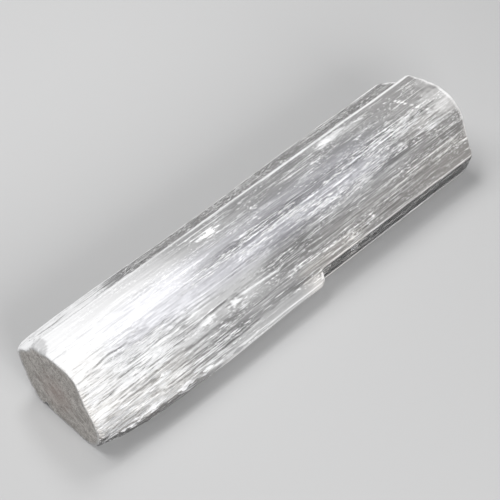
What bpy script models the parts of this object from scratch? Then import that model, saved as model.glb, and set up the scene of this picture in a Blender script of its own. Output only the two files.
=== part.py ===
# A raw selenite log: one bar of fibrous gypsum crystal, split along its cleavage planes, sawn across
# at one end and broken off at the other. It lies on its widest cleavage face, along X, with Z up.
import math

import bmesh
import bpy
from mathutils import Vector, noise

MM = 0.001

# Driving dimensions, in millimetres
LENGTH = 201.6          # sawn end to the crown of the broken end, before the saw's slant
SAW_SLANT = 0.0265      # how far out of square the saw ran, mm along X for each mm of width
SAW_EDGE = 0.35         # the worn edge round the sawn face
CORNER = 0.8            # how far each corner of the section is rubbed down
WAVE = 0.30             # how far the split faces wander from a true plane
WAVE_RUN = 38.0         # length of one wander along the log
WAVE_PITCH = 7.0        # and round its section
WAVE_SEED = 8           # which of the possible wanders this log has
BLADE_END = 112.0       # from the sawn end to where the outer blade on the -Y side stops
FLUTE_DEPTH = 2.6       # groove in the underside, deepest at the sawn end
FLUTE_RUN = 60.0        # over which that groove runs out

# The section, seen from the sawn end with +Y to the left, anticlockwise from the right of the foot.
# Each corner is (y, z, reach): reach is how far it stands out, as (dy, dz), where the outer blade
# on the -Y side is still in place.
SECTION = [
    (-16.6, 0.0, (-2.6, 0.0)),     # foot
    (-21.4, 2.8, (-3.0, 0.0)),     # undercut below the right wall
    (-23.4, 6.2, (-3.3, 0.0)),     # right wall, lower edge
    (-23.1, 11.0, (-3.3, -3.7)),   # right wall, upper edge
    (-20.2, 14.4, (0.0, 0.0)),     # long slope facing -Y
    (-17.0, 18.1, (0.0, 0.0)),
    (-14.7, 21.4, (0.0, 0.0)),
    (-12.9, 25.6, (0.0, 0.0)),
    (-11.2, 29.0, (0.0, 0.0)),     # shoulder between the slope and the top
    (-9.2, 30.6, (0.0, 0.0)),
    (-6.0, 31.6, (0.0, 0.0)),      # top
    (0.0, 31.7, (0.0, 0.0)),
    (6.5, 31.1, (0.0, 0.0)),
    (14.0, 29.8, (0.0, 0.0)),      # top left edge
    (17.0, 24.4, (0.0, 0.0)),      # wall down to the left ledge
    (21.4, 22.3, (0.0, 0.0)),      # left ledge
    (25.3, 19.2, (0.0, 0.0)),      # its outer edge
    (24.4, 16.4, (0.0, 0.0)),
    (20.4, 10.6, (0.0, 0.0)),      # undercut left side
    (17.2, 5.0, (0.0, 0.0)),
    (14.0, 1.4, (0.0, 0.0)),
    (11.4, 0.0, (0.0, 0.0)),       # foot
]
FLUTE = [(10.3, 0.0), (8.3, 1.0), (5.6, 0.0)]  # z of the middle corner is a share of the groove's depth
CORE = (0.0, 15.0)                             # the middle of the section

# How much of the outer blade stands at each distance from the sawn end. It is chipped away at the
# sawn end itself, thins slowly and stops in a short rounded step.
BLADE = [(0.0, -0.42), (4.0, -0.15), (8.0, 0.32), (13.0, 0.62), (20.0, 0.92), (28.0, 1.06), (46.0, 1.13),
         (62.0, 1.08), (72.0, 1.02), (82.0, 0.93), (94.0, 0.85), (104.0, 0.85), (109.0, 0.84), (111.2, 0.64),
         (BLADE_END, 0.0)]

# The hollow in the long slope fills out towards the broken end.
HOLLOW = (-14.2, 22.8)
HOLLOW_SPREAD = 5.0
HOLLOW_FILL = (-1.3, 0.5)
HOLLOW_FROM, HOLLOW_TO = 70.0, 150.0

# The left ledge is rubbed back at the sawn end.
LEDGE = [(0.0, -2.4), (3.0, -1.0), (8.0, -0.4), (18.0, 0.0), (45.0, 0.0), (75.0, -0.5), (98.0, -0.5),
         (125.0, 0.0), (150.0, 0.5), (185.0, 0.9)]
LEDGE_EDGE = (25.3, 19.2)
LEDGE_SPREAD = 6.0      # how far round the section that reaches

# The broken end is a low dome, with its rim rounded over and its lower right corner knocked back.
DOME_MIDDLE = -2.0
DOME_DROP = 0.0086      # mm of drop for each square mm of distance from its middle
CORNER_DROP = 0.75      # further drop for each mm below CORNER_TOP, at the right wall
CORNER_TOP = 11.5
UNDER_DROP = 0.16       # and the whole face leans in towards the foot
RIGHT_FILL = 0.95       # the break stands this much further out over the long slope
RIGHT_FILL_FROM = 10.5  # starting this far to the -Y side
END_RUN = 34.0          # both end faces' shapes fade out over this length
RIM = [(0.6, 0.992), (1.3, 0.965)]             # distance past the last ring, and the size of the section
CAP_RINGS = [0.84, 0.62, 0.38, 0.16]           # rings across the broken face, as shares of the section


def fromTable(table, at):
    if at <= table[0][0]:
        return table[0][1]
    for (x0, v0), (x1, v1) in zip(table, table[1:]):
        if at <= x1:
            return v0 + (v1 - v0) * (at - x0) / (x1 - x0)
    return table[-1][1]


def smooth(share):
    share = max(0.0, min(1.0, share))
    return share * share * (3.0 - 2.0 * share)


# 1 at a place in the section, falling to nothing over its spread
def closeness(y, z, place, spread):
    return math.exp(-((y - place[0]) ** 2 + (z - place[1]) ** 2) / spread ** 2)


# The section's corners at one distance from the sawn end
def cornersAt(along):
    blade = fromTable(BLADE, along)
    ledge = fromTable(LEDGE, along)
    fill = smooth((along - HOLLOW_FROM) / (HOLLOW_TO - HOLLOW_FROM))
    corners = []
    for y, z, (dy, dz) in SECTION:
        atLedge = ledge * closeness(y, z, LEDGE_EDGE, LEDGE_SPREAD)
        atHollow = fill * closeness(y, z, HOLLOW, HOLLOW_SPREAD)
        corners.append((y + dy * blade + atLedge + HOLLOW_FILL[0] * atHollow,
                        z + dz * blade + HOLLOW_FILL[1] * atHollow))
    depth = FLUTE_DEPTH * (1.0 - smooth(along / FLUTE_RUN)) + 0.1
    corners += [(y, z * depth) for y, z in FLUTE]
    return corners


# Each corner is cut back along both its edges, which doubles the points of the outline.
def rubbed(corners):
    outline = []
    for before, here, after in zip(corners[-1:] + corners[:-1], corners, corners[1:] + corners[:1]):
        here = Vector(here)
        for other in (Vector(before), Vector(after)):
            edge = other - here
            outline.append(here + edge * min(CORNER / edge.length, 0.36))
    return outline


# One ring of points round the log. Points on the foot stay exactly on the ground.
def ringAt(along, scale=1.0, past=0.0):
    nearEnd = 1.0 - smooth(along / END_RUN)
    farEnd = smooth((along - (LENGTH - END_RUN)) / END_RUN)
    ring = []
    for y, z in rubbed(cornersAt(along)):
        grounded = z < 1e-4
        y, z = CORE[0] + (y - CORE[0]) * scale, CORE[1] + (z - CORE[1]) * scale
        sway = noise.noise_vector(Vector((along / WAVE_RUN, y / WAVE_PITCH, z / WAVE_PITCH))) * WAVE
        y += sway.y
        if grounded and scale == 1.0:
            z = 0.0
        else:
            z = max(0.0, z + sway.z)
        x = along + past + nearEnd * SAW_SLANT * y - farEnd * domeDrop(y, z)
        ring.append(Vector((x, y, z)) * MM)
    return ring


def domeDrop(y, z):
    right = smooth((-y - 14.0) / 8.0)
    drop = DOME_DROP * (y - DOME_MIDDLE) ** 2 - RIGHT_FILL * smooth((-y - RIGHT_FILL_FROM) / 4.0)
    drop += CORNER_DROP * right * max(0.0, CORNER_TOP - z)
    drop += UNDER_DROP * max(0.0, CORNER_TOP - z) * (1.0 - right)
    return drop


# Distances of the rings from the sawn end: close together at both ends and at the blade's step
def stations():
    nearStations = [0.0, SAW_EDGE, 3.0, 5.5, 8.5, 12.0, 16.0, 21.0]
    step = [BLADE_END - 6.0, BLADE_END - 3.0, BLADE_END - 1.4, BLADE_END - 0.5, BLADE_END]
    farStations = [LENGTH - 15.0, LENGTH - 9.0, LENGTH - 5.0, LENGTH - 2.5, LENGTH - RIM[-1][0]]
    between = [28.0 + 8.2 * n for n in range(10)] + [BLADE_END + 5.0 + 9.0 * n for n in range(8)]
    return sorted(nearStations + step + farStations + between)


def makeLog():
    mesh = bpy.data.meshes.new("selenite_log")
    shape = bmesh.new()
    lastRing = stations()[-1]
    rings = []
    for along in stations():
        rings.append(ringAt(along, scale=0.988 if along == 0.0 else 1.0))
    rings += [ringAt(lastRing, scale, past) for past, scale in RIM]
    rings += [ringAt(lastRing, scale, RIM[-1][0]) for scale in CAP_RINGS]
    loops = [[shape.verts.new(point) for point in ring] for ring in rings]
    for first, second in zip(loops, loops[1:]):
        for k in range(len(first)):
            n = (k + 1) % len(first)
            shape.faces.new((first[k], second[k], second[n], first[n]))
    shape.faces.new(loops[0])
    crown = shape.verts.new(sum((v.co for v in loops[-1]), Vector()) / len(loops[-1]))
    for k, corner in enumerate(loops[-1]):
        shape.faces.new((corner, crown, loops[-1][(k + 1) % len(loops[-1])]))
    bmesh.ops.triangulate(shape, faces=shape.faces[:], quad_method="SHORT_EDGE")
    bmesh.ops.recalc_face_normals(shape, faces=shape.faces[:])

    # The origin is under the middle of the log, on the ground.
    xs, ys = [v.co.x for v in shape.verts], [v.co.y for v in shape.verts]
    middle = Vector(((min(xs) + max(xs)) / 2, (min(ys) + max(ys)) / 2, 0.0))
    bmesh.ops.translate(shape, verts=shape.verts[:], vec=-middle)
    shape.to_mesh(mesh)
    shape.free()
    mesh.shade_smooth()
    mesh.set_sharp_from_angle(angle=math.radians(28.0))
    log = bpy.data.objects.new("selenite_log", mesh)
    bpy.context.scene.collection.objects.link(log)
    return log


def satinGypsum():
    material = bpy.data.materials.new("satin_gypsum")
    material.use_nodes = True
    shader = material.node_tree.nodes["Principled BSDF"]
    shader.inputs["Base Color"].default_value = (0.78, 0.78, 0.79, 1.0)
    shader.inputs["Roughness"].default_value = 0.42
    shader.inputs["Metallic"].default_value = 0.0
    return material


for old in list(bpy.data.objects):
    bpy.data.objects.remove(old)

noise.seed_set(WAVE_SEED)
log = makeLog()
log.data.materials.append(satinGypsum())
size = [edge * 1000.0 for edge in log.dimensions]
print("selenite_log %.1f x %.1f x %.1f mm, %d triangles" % (*size, len(log.data.polygons)))
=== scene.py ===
import math

import bpy
import numpy as np
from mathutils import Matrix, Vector
from mathutils.bvhtree import BVHTree


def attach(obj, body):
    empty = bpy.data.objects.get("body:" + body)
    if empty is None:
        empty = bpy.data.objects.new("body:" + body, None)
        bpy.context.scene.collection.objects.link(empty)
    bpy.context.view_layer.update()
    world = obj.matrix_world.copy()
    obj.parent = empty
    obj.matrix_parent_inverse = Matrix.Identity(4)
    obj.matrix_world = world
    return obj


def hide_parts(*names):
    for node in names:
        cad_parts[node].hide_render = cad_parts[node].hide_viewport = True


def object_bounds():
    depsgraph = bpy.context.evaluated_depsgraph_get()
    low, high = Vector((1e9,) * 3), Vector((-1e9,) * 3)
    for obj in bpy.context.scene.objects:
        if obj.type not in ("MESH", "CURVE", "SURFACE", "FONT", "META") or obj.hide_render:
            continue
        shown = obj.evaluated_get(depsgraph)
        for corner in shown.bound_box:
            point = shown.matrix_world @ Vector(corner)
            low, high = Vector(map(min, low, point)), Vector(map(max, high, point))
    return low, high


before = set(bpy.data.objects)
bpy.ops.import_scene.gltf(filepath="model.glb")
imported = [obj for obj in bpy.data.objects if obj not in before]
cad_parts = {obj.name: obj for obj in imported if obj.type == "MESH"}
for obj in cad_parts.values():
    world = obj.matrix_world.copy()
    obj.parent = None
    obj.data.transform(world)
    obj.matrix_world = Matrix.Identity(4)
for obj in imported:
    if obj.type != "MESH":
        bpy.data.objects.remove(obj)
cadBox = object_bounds()
mm = 0.001
root = "root"
print("frame loaded")

# The outer skin: rings of points round the log, rim to rim, then across both ends.
# A place on its sides is (x, s): x along the log, s round it from the middle of the foot by the +Y side.
skin = {
    "around": 410,          # points round the section
    "along": 200,           # rings between the two ends
    "core": (0.0, 15.0),    # y, z of the line that the section is measured from, mm
    "measuredAt": -30.0,    # the x where s is measured, mm
    "measureSteps": 1801,   # directions looked in to measure it
    "topShare": 1.35,       # how much closer the points are on the upper faces
    "topFrom": (8.0, -16.0),   # the upper faces are above this z or past this y, mm
    "nearRings": 10,        # rings across the sawn face
    "farRings": 26,         # rings across the broken face
    "rimSteps": (0.12, 0.35, 0.7),   # extra rings close to each rim, mm
    "rimRoom": 1.2,         # the even rings keep this far from each rim, mm
    "rimCrowd": 1.6,        # how much the rings across an end crowd to its rim
    "endRun": 42.0,         # the rings turn to follow each end over this length, mm
    "endDepth": (2.2, 15.0),   # how far inside the sawn and the broken end their rays start, mm
    "justInside": 0.97,     # where a rim is looked for, as a share of the way out from the core
    "swell": 0.26,          # the skin starts this far outside the solid, before it is carved, mm
}


def smooth(share):
    share = np.clip(share, 0.0, 1.0)
    return share * share * (3.0 - 2.0 * share)


# The CAD solid's faces in mm, for casting rays at
def solidTree(node):
    points = [vert.co / mm for vert in node.data.vertices]
    faces = [tuple(face.vertices) for face in node.data.polygons]
    return BVHTree.FromPolygons(points, faces)


# Where a ray from inside the solid comes out
def castOut(origin, direction):
    return np.array(solid.ray_cast(Vector(origin), Vector(direction))[0])


# Angles round the core line, spaced evenly along the outline, and how far along it each one is
def outlineAngles():
    origin = (skin["measuredAt"], *skin["core"])
    fine = np.linspace(-math.pi / 2, 1.5 * math.pi, skin["measureSteps"])
    points = np.array([castOut(origin, (0, math.cos(angle), math.sin(angle))) for angle in fine])
    steps = np.linalg.norm(np.diff(points[:, 1:], axis=0), axis=1)
    topZ, topY = skin["topFrom"]
    upper = (points[1:, 2] > topZ) | (points[1:, 1] < topY)
    weighted = np.concatenate([[0], np.cumsum(steps * np.where(upper, skin["topShare"], 1.0))])
    length = np.concatenate([[0], np.cumsum(steps)])
    wanted = np.linspace(0, weighted[-1], skin["around"] + 1)[:-1]
    return np.interp(wanted, weighted, fine), np.interp(wanted, weighted, length), length[-1]


# How far an end's rim stands from the box's end: at the core line, and for each mm away from it
def rimSlant(turn, startX, endX, sign):
    core = np.array(skin["core"])
    middleX = castOut((startX, *core), (sign, 0, 0))[0]
    slopes = []
    for y, z in turn:
        outward = castOut((startX, *core), (0, y, z))[1:] - core
        inside = core + outward * skin["justInside"]
        rimX = castOut((startX, *inside), (sign, 0, 0))[0]
        slopes.append((rimX - middleX) / np.linalg.norm(outward))
    return middleX - endX, np.array(slopes)


# The points of the sides, ring by ring, cast outwards from the core line
def sideRings(angles):
    turn = np.stack([np.cos(angles), np.sin(angles)], axis=1)
    nearShift, nearSlope = rimSlant(turn, starts[0], lowX, -1)
    farShift, farSlope = rimSlant(turn, starts[1], highX, 1)
    steps = np.array(skin["rimSteps"])
    even = np.linspace(lowX + skin["rimRoom"], highX - skin["rimRoom"], skin["along"])
    stations = np.concatenate([lowX + steps, even, highX - steps[::-1]])
    nearShare = 1 - smooth((stations - lowX) / skin["endRun"])
    farShare = smooth((stations - highX + skin["endRun"]) / skin["endRun"])
    grid = np.zeros((len(stations), skin["around"], 3))
    for i, x in enumerate(stations):
        startX = x + nearShare[i] * nearShift + farShare[i] * farShift
        slope = nearShare[i] * nearSlope + farShare[i] * farSlope
        for j, (y, z) in enumerate(turn):
            grid[i, j] = castOut((startX, *skin["core"]), (slope[j], y, z))
    return grid


# Rings across an end, from its rim to its middle, cast along the log
def capRings(edge, startX, sign, count):
    core = np.array(skin["core"])
    cap = []
    for step in range(1, count + 1):
        share = 1 - (step / count) ** skin["rimCrowd"]
        inner = core + (edge[:, 1:] - core) * share
        cap.append([castOut((startX, y, z), (sign, 0, 0)) for y, z in inner])
    return np.array(cap)


solid = solidTree(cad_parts["selenite_log"])
lowX, highX = cadBox[0][0] / mm, cadBox[1][0] / mm
starts = (lowX + skin["endDepth"][0], highX - skin["endDepth"][1])
angles, outline, perimeter = outlineAngles()
sides = sideRings(angles)
print("skin laid out:", sides.shape)

# The relief carved into the sides, in mm
relief = {
    "wave": (0.10, 55.0, 8.0),       # slow swells: height, length, width
    "ripple": (0.03, 40.0, 2.4),     # fibre ridges where the face is roughest
    "fibre": (0.05, 34.0, 1.2),
    "thread": (0.07, 26.0, 0.7),
    "flakes": 3000,                  # hollows where long flakes came away
    "flakeSpan": ((-106, 106), (9, 122)),   # x and s they are spread over
    "flakeLength": (4.0, 26.0),
    "flakeWidth": (0.6, 2.1),
    "flakeDepth": (0.03, 0.20),
    "flakeEnds": 2.0,                # how uneven a flake's two ends are
    "strokeDepth": 0.14,             # how deep the dark strokes are cut
    "strokeHeight": 0.08,            # how proud the bright ones stand
    "scaleDepth": 0.30,              # the scaly patches: their scales, and the grain on them
    "scaleGrain": 0.08,
    "facetSlope": 0.19,              # fall of the small facet for each mm along
    "rimWear": 0.22,                 # how much the rims are rubbed down
    "nickDepth": 0.35,               # nicks in the rims
    "highest": 0.4,                  # the furthest the skin stands out of the solid, and into it
    "deepest": 1.1,
    "footRoom": (0.3, 2.4),          # carving starts at this z and is full this much above it
    "seed": 23,
}
# The small facet at the corner of the sawn end: at each s, the x that it reaches
facetRoute = (
    [49.4, 50.2, 51.5, 53.7, 56.7, 58.6, 61.0],
    [-102.0, -95.8, -95.0, -95.1, -96.7, -98.4, -102.0],
)

# Stretches of the sides: x from and to, s from and to, and a share
roughZones = {
    "topBand": ((-30, 94), (69, 79), 0.42),
    "nearSlope": ((-110, -57), (78, 100), 0.75),
    "middleSlope": ((-28, 8), (78, 97), 0.08),
    "nearFoot": ((-110, -40), (93, 106), 0.6),
    "farSlope": ((8, 110), (80, 99), 0.22),
    "farSlopeFoot": ((0, 110), (92, 99), 0.25),
    "ledge": ((-110, 110), (34, 50), 0.25),
    "hidden": ((-110, 110), (8, 34), 0.55),
    "hiddenRight": ((-110, 110), (106, 118), 0.5),
}

scalyPatches = {   # name: (x, s), half length, half width, share
    "shoulder": ((-77, 76.4), 12, 3.0, 1.0),
    "foot": ((-90, 101.0), 9, 3.5, 0.8),
    "middle": ((-42, 87.5), 8, 3.0, 0.5),
}

pits = {   # name: (x, s), half length, half width, depth
    "bigChip": ((-19.8, 58.4), 4.2, 1.3, 0.35),
    "slopeChip": ((-57.7, 81.0), 3.0, 1.3, -0.20),
    "lowChip": ((-28.6, 88.0), 1.9, 1.2, -0.30),
    "crumbs": ((-42.6, 87.7), 4.0, 1.8, 0.35),
    "notchA": ((-88.0, 102.5), 5.0, 1.7, 0.8),
    "notchB": ((-76.0, 103.2), 4.0, 1.2, 0.6),
    "notchC": ((-60.5, 103.4), 6.0, 1.0, 0.55),
    "dotFar": ((56.1, 63.4), 0.9, 0.6, 0.15),
    "ledgeNick": ((9.0, 36.2), 2.5, 0.9, 0.3),
    "ledgeNickFar": ((52.0, 36.0), 3.5, 0.8, 0.3),
}

cracks = {   # name: route of (x, s), half width, depth
    "slopeLong": ([(-74, 78.6), (-66, 78.0), (-58, 76.8)], 0.45, 0.45),
    "slopeLow": ([(-52, 86.8), (-44, 86.4), (-31, 85.6)], 0.50, 0.60),
    "slopeNear": ([(-97, 88.0), (-84, 87.4), (-70, 87.9)], 0.40, 0.40),
    "slopeNearLow": ([(-95, 93.6), (-80, 93.0), (-66, 93.8)], 0.40, 0.40),
    "shoulderNear": ([(-92, 75.5), (-83, 74.8), (-76, 75.4)], 0.40, 0.35),
    "ledgeFold": ([(-97, 47.8), (-70, 47.2), (-20, 46.9), (40, 46.6), (80, 47.0)], 0.60, 0.45),
    "ledgeFoldNear": ([(-96, 45.4), (-78, 45.0), (-60, 44.8)], 0.60, 0.40),
    "topFoldNear": ([(-95, 50.9), (-84, 50.8), (-68, 51.2)], 0.45, 0.30),
    "ledgeLine": ([(-92, 41.5), (-70, 41.0), (-52, 41.4)], 0.35, 0.25),
    "farLow": ([(20, 95.2), (50, 95.6), (85, 95.0)], 0.40, 0.25),
    "footLine": ([(-70, 99.0), (-45, 99.6), (-22, 99.4)], 0.45, 0.35),
    "footShadow": ([(-99, 104.6), (-88, 105.2), (-76, 105.6), (-54, 105.4)], 0.8, 0.45),
}

# Short strokes along the grain: bright ones are milky fibres in the skin, dark ones are cut a little in and
# painted as the shade in the gaps between fibres.
# Each row is a route of (x, s), how far they spread to both sides of it, how many there are, and the ranges
# of their length, width and strength.
brightStrokes = {
    "bandMiddle": ([(-30, 72), (7, 74.2), (33, 75.8), (46, 75)], 3.6, 150, (3, 16), (0.4, 0.8), (0.1, 0.5)),
    "bandFar": ([(34, 75.4), (54, 74.6), (72, 73.0), (84, 71.6)], 4.4, 180, (3, 16), (0.4, 0.8), (0.1, 0.5)),
    "farSlope": ([(-12, 88.5), (98, 88.5)], 10.5, 260, (5, 22), (0.4, 0.8), (0.1, 0.5)),
    "nearSlope": ([(-101, 88.5), (-42, 88.5)], 12.5, 480, (4, 18), (0.4, 0.9), (0.2, 0.8)),
    "ledge": ([(-101, 41.0), (92, 41.0)], 5.0, 260, (1, 7), (0.4, 0.8), (0.2, 0.7)),
    "rightWall": ([(14, 102.4), (98, 101.6)], 2.2, 70, (3, 16), (0.4, 0.7), (0.1, 0.5)),
}
darkStrokes = {
    "nearSlope": ([(-101, 88.5), (-50, 88.5)], 12.5, 250, (4, 20), (0.3, 0.6), (0.3, 1.0)),
    "middleSlope": ([(-50, 88.5), (20, 88.5)], 11.5, 100, (4, 18), (0.3, 0.6), (0.1, 0.55)),
    "nearTop": ([(-99, 66.0), (-50, 66.0)], 6.0, 90, (4, 18), (0.3, 0.5), (0.05, 0.40)),
    "nearShoulder": ([(-101, 73.5), (-36, 74.5)], 3.6, 150, (3, 14), (0.35, 0.6), (0.1, 0.6)),
    "farBand": ([(-20, 74.0), (90, 74.0)], 5.0, 260, (3, 14), (0.3, 0.6), (0.3, 1.0)),
    "nearLedge": ([(-98, 42.5), (-50, 42.5)], 5.5, 60, (3, 14), (0.35, 0.6), (0.1, 0.5)),
    "farLedge": ([(-55, 41.5), (92, 41.5)], 5.0, 330, (0.8, 5), (0.4, 0.8), (0.2, 0.7)),
    "nearFoot": ([(-99, 104.6), (-48, 104.8)], 3.0, 170, (3, 14), (0.4, 0.9), (0.4, 1.0)),
}


# Random heights from -1 to 1 on unit cells. v meets itself after so many cells, and u after so many rows,
# with each column shifted along by its own amount.
def swells(u, v, seed, cells=64, rows=64):
    draw = np.random.default_rng(seed)
    table = draw.uniform(-1, 1, (rows, cells))
    shift = draw.uniform(0, rows, cells)
    left = np.floor(v).astype(int)

    def column(index):
        index = index % cells
        along = u + shift[index]
        row = np.floor(along).astype(int)
        share = smooth(along - row)
        return table[row % rows, index] * (1 - share) + table[(row + 1) % rows, index] * share

    across = smooth(v - left)
    return column(left) * (1 - across) + column(left + 1) * across


# Swells on the sides, with their length and width in mm
def sideSwells(length, width, seed):
    cells = round(perimeter / width)
    return swells(sideX / length, sideS / perimeter * cells, seed, cells)


# 1 between two x and two s, with soft edges so many mm wide, and 0 outside
def inZone(spanX, spanS, fadeX=14.0, fadeS=2.5):
    alongX = smooth((sideX - spanX[0]) / fadeX + 0.5) * smooth((spanX[1] - sideX) / fadeX + 0.5)
    acrossS = smooth((sideS - spanS[0]) / fadeS + 0.5) * smooth((spanS[1] - sideS) / fadeS + 0.5)
    return alongX * acrossS


# The shares of all the zones added up; what follows a zone's share is how wide its soft edges are
def addZones(base, zones, **fade):
    total = np.full(sideX.shape, base)
    for spanX, spanS, share, *ownFade in zones.values():
        total = total + share * inZone(spanX, spanS, *ownFade, **fade)
    return total


# 1 on a patch and 0 away from it, with an uneven edge
def inPatch(place, halfLength, halfWidth, seed=5):
    away = np.hypot((sideX - place[0]) / halfLength, (sideS - place[1]) / halfWidth)
    return smooth((1.25 - away + 0.35 * sideSwells(1.6, 0.8, seed)) * 1.6)


# A bruised patch: a torn middle with crumbs strewn about it, mostly along the grain
def inBruise(place, halfLength, halfWidth, seed, crumbs=9):
    draw = np.random.default_rng(seed)
    torn = 0.8 * sideSwells(1.5, 0.7, seed) + 0.5 * sideSwells(0.9, 0.5, seed + 1)
    away = np.hypot((sideX - place[0]) / halfLength, (sideS - place[1]) / halfWidth)
    bruise = smooth((1.1 - away + torn * 0.55) * 2.0)
    for _ in range(crumbs):
        crumb = np.array(place) + draw.normal(0, 1.1, 2) * (halfLength, halfWidth)
        size = draw.uniform(0.25, 0.6)
        alongX = (sideX - crumb[0]) / (halfLength * size)
        acrossS = (sideS - crumb[1]) / (halfWidth * size)
        bruise = np.maximum(bruise, 0.8 * smooth((1.1 - np.hypot(alongX, acrossS) + torn * 0.5) * 2.0))
    return bruise


# 1 along a route of (x, s) that wanders a little, and 0 away from it
def alongRoute(route, halfWidth, fadeX=4.0, wander=0.35):
    routeX, routeS = np.array(route, float).T
    middle = np.interp(sideX, routeX, routeS) + wander * sideSwells(6.0, 30.0, 77)
    ends = smooth((sideX - routeX[0]) / fadeX + 0.5) * smooth((routeX[-1] - sideX) / fadeX + 0.5)
    return ends * smooth(1.3 - abs(sideS - middle) / halfWidth)


def routeMask(routes, **shape):
    mask = np.zeros_like(sideX)
    for route, halfWidth, strength in routes.values():
        mask = np.maximum(mask, strength * alongRoute(route, halfWidth, **shape))
    return mask


# Which rings, and which points round them, lie near a place
def nearby(middleX, middleS, reachX, reachS):
    rows = np.flatnonzero(abs(ringX - middleX) < reachX)
    columns = np.flatnonzero(abs(outline - middleS) < reachS)
    return rows, columns


# Strokes scattered along their routes, each a little askew and with ragged ends
def strokeMask(strokeSets, seed):
    draw = np.random.default_rng(seed)
    mask = np.zeros_like(sideX)
    for route, spread, count, (shortest, longest), widths, strengths in strokeSets.values():
        routeX, routeS = np.array(route, float).T
        for _ in range(count):
            middleX = draw.uniform(routeX[0], routeX[-1])
            middleS = np.interp(middleX, routeX, routeS) + draw.uniform(-1, 1) * spread
            length = shortest + (longest - shortest) * draw.random() ** 2
            width, strength = draw.uniform(*widths), draw.uniform(*strengths)
            lean = draw.normal(0, 0.02)
            rows, columns = nearby(middleX, middleS, length / 2 + slack, width + 0.3)
            if len(rows) * len(columns) == 0:
                continue
            local = np.ix_(rows, columns)
            alongX = sideX[local] - middleX
            across = abs(sideS[local] - middleS - lean * alongX) / (width / 2)
            ragged = draw.uniform(-0.6, 0.6, len(columns))
            ends = length / 2 - abs(alongX + ragged)
            mark = strength * smooth(1.7 - across) * smooth(ends / (0.2 * length + 0.4))
            mask[local] = np.maximum(mask[local], mark)
    return mask


# Each flake leaves a hollow that is steep along one side and runs out to nothing at the other
def flakeDepths(rough):
    draw = np.random.default_rng(relief["seed"])
    depth = np.zeros_like(sideX)
    spanX, spanS = relief["flakeSpan"]
    for _ in range(relief["flakes"]):
        middleX, middleS = draw.uniform(*spanX), draw.uniform(*spanS)
        length = draw.uniform(*relief["flakeLength"])
        width = draw.uniform(*relief["flakeWidth"])
        deep = draw.uniform(*relief["flakeDepth"])
        flip = draw.random() < 0.5
        rows, columns = nearby(middleX, middleS, length / 2 + slack, width / 2)
        raggedEnds = draw.uniform(-1, 1, len(columns)) * relief["flakeEnds"]
        if len(rows) * len(columns) == 0:
            continue
        local = np.ix_(rows, columns)
        across = (sideS[local] - middleS) / width + 0.5
        across = 1 - across if flip else across
        along = length / 2 - abs(sideX[local] - middleX) + raggedEnds
        profile = smooth(across * 6) * (1 - across) ** 0.8
        depth[local] += deep * rough[local] * profile * smooth(along / 1.5)
    return depth


sideX = sides[:, :, 0]
sideS = np.broadcast_to(outline, sideX.shape)
ringX = sideX.mean(axis=1)
slack = 4.0   # rings slant near the ends, so a mark is looked for this much further along, mm
footZ, footFade = relief["footRoom"]
clearance = smooth((sides[:, :, 2] - footZ) / footFade)   # 0 on the foot, 1 well above it
rough = addZones(0.04, roughZones) * clearance

depth = np.zeros_like(sideX)
height, length, width = relief["wave"]
depth += height * sideSwells(length, width, 31)
for name, seed in (("ripple", 32), ("fibre", 33), ("thread", 34)):
    height, length, width = relief[name]
    depth += height * sideSwells(length, width, seed) * (0.1 + rough)
depth += flakeDepths(0.12 + rough)

brightMask = strokeMask(brightStrokes, 81)
brightMask = brightMask * (0.45 + 0.55 * smooth(0.5 + 1.2 * sideSwells(16.0, 4.0, 83)))
darkMask = strokeMask(darkStrokes, 82)
depth += relief["strokeDepth"] * darkMask - relief["strokeHeight"] * brightMask

scaly = sum(share * inPatch(place, *halves) for place, *halves, share in scalyPatches.values())
scales = scaly * relief["scaleDepth"] * smooth(0.5 + 0.9 * sideSwells(2.2, 0.9, 35))
depth += scales + scaly * relief["scaleGrain"] * sideSwells(1.0, 0.6, 39)
for place, halfLength, halfWidth, deep in pits.values():
    depth += deep * inPatch(place, halfLength, halfWidth) * (0.75 + 0.35 * sideSwells(1.3, 0.8, 36))

facetEdge = np.interp(sideS, *facetRoute)
facet = smooth((facetEdge - sideX) / 0.6)
depth = depth * (1 - facet) + facet * relief["facetSlope"] * np.clip(facetEdge - sideX, 0, None)

# Each crack is cut into the skin, and its line is kept for the painted shade along it
crackShadeMask = np.zeros_like(sideX)
for route, halfWidth, deep in cracks.values():
    line = alongRoute(route, halfWidth) * smooth(0.9 + sideSwells(5.0, 3.0, 37))
    depth += deep * line
    crackShadeMask = np.maximum(crackShadeMask, line)

nearAway = abs(sideX - sides[:1, :, 0])   # how far each point is from the rim of each end
farAway = abs(sideX - sides[-1:, :, 0])
rimAway = np.minimum(nearAway, farAway)
nicks = smooth(1.2 * sideSwells(3.0, 1.7, 38) - 0.2) * smooth(1 - rimAway / 1.4)
depth += relief["rimWear"] * smooth(1 - rimAway / 0.8) + relief["nickDepth"] * nicks
depth = np.clip(depth - skin["swell"], -relief["highest"], relief["deepest"]) * clearance


# Which way the sides face at each point, turned away from the core line
def gridNormals(grid):
    around = np.roll(grid, -1, axis=1) - np.roll(grid, 1, axis=1)
    along = np.gradient(grid, axis=0)
    normals = np.cross(along, around)
    normals /= np.linalg.norm(normals, axis=2)[..., None]
    outward = grid[..., 1:] - np.array(skin["core"])
    turned = np.sign((normals[..., 1:] * outward).sum(axis=2))
    return normals * turned[..., None]


normals = gridNormals(sides)
normals[0] = normals[1]
normals[-1] = normals[-2]
carved = sides - normals * depth[..., None]
# How proud each point stands of its neighbours round the section: above 0 on a crest, below 0 in a groove
proud = ((carved - (np.roll(carved, 2, axis=1) + np.roll(carved, -2, axis=1)) / 2) * normals).sum(axis=2)
print("relief carved, deepest %.2f mm" % depth.max())

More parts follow.
